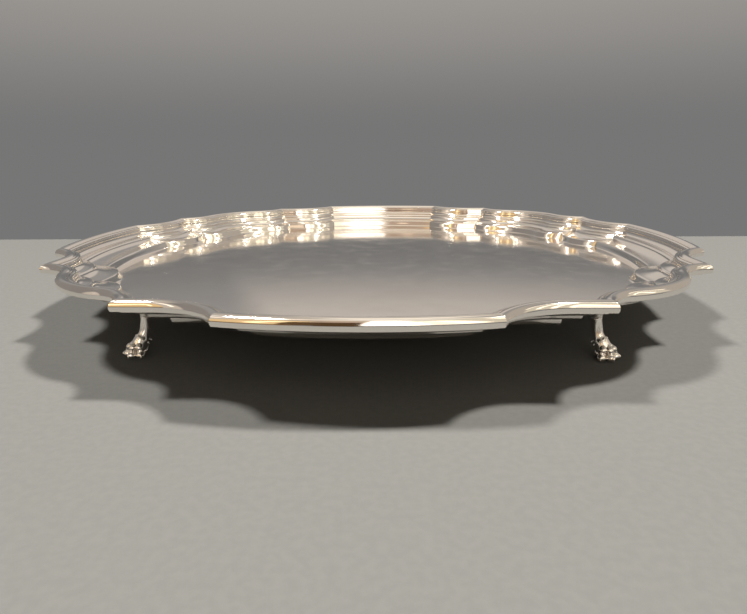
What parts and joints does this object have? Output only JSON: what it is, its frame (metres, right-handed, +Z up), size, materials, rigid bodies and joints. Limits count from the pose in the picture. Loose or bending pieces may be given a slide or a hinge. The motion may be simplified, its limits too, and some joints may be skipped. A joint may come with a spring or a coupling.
{
  "type": "salver",
  "caption": "Silver salver with a pie-crust moulded rim, a plain flat well and cast paw feet.",
  "frame": {"origin": "on the table, under the middle of the well", "axes": "+Z up out of the well; the broad lobes lie on +X, +Y, -X and -Y and the feet on the diagonals"},
  "size_m": [0.3026, 0.3026, 0.0338],
  "materials": {
    "polished_silver": "polished"
  },
  "bodies": {
    "root": {"foot_back_left": "polished_silver", "foot_back_right": "polished_silver", "foot_front_left": "polished_silver", "foot_front_right": "polished_silver", "foot_pad_back_left": "polished_silver", "foot_pad_back_right": "polished_silver", "foot_pad_front_left": "polished_silver", "foot_pad_front_right": "polished_silver", "rim_lobe_back": "polished_silver", "rim_lobe_back_left": "polished_silver", "rim_lobe_back_right": "polished_silver", "rim_lobe_front": "polished_silver", "rim_lobe_front_left": "polished_silver", "rim_lobe_front_right": "polished_silver", "rim_lobe_left": "polished_silver", "rim_lobe_right": "polished_silver", "rim_step_back_a": "polished_silver", "rim_step_back_b": "polished_silver", "rim_step_front_a": "polished_silver", "rim_step_front_b": "polished_silver", "rim_step_left_a": "polished_silver", "rim_step_left_b": "polished_silver", "rim_step_right_a": "polished_silver", "rim_step_right_b": "polished_silver", "tray": "polished_silver"}
  },
  "joints": []
}
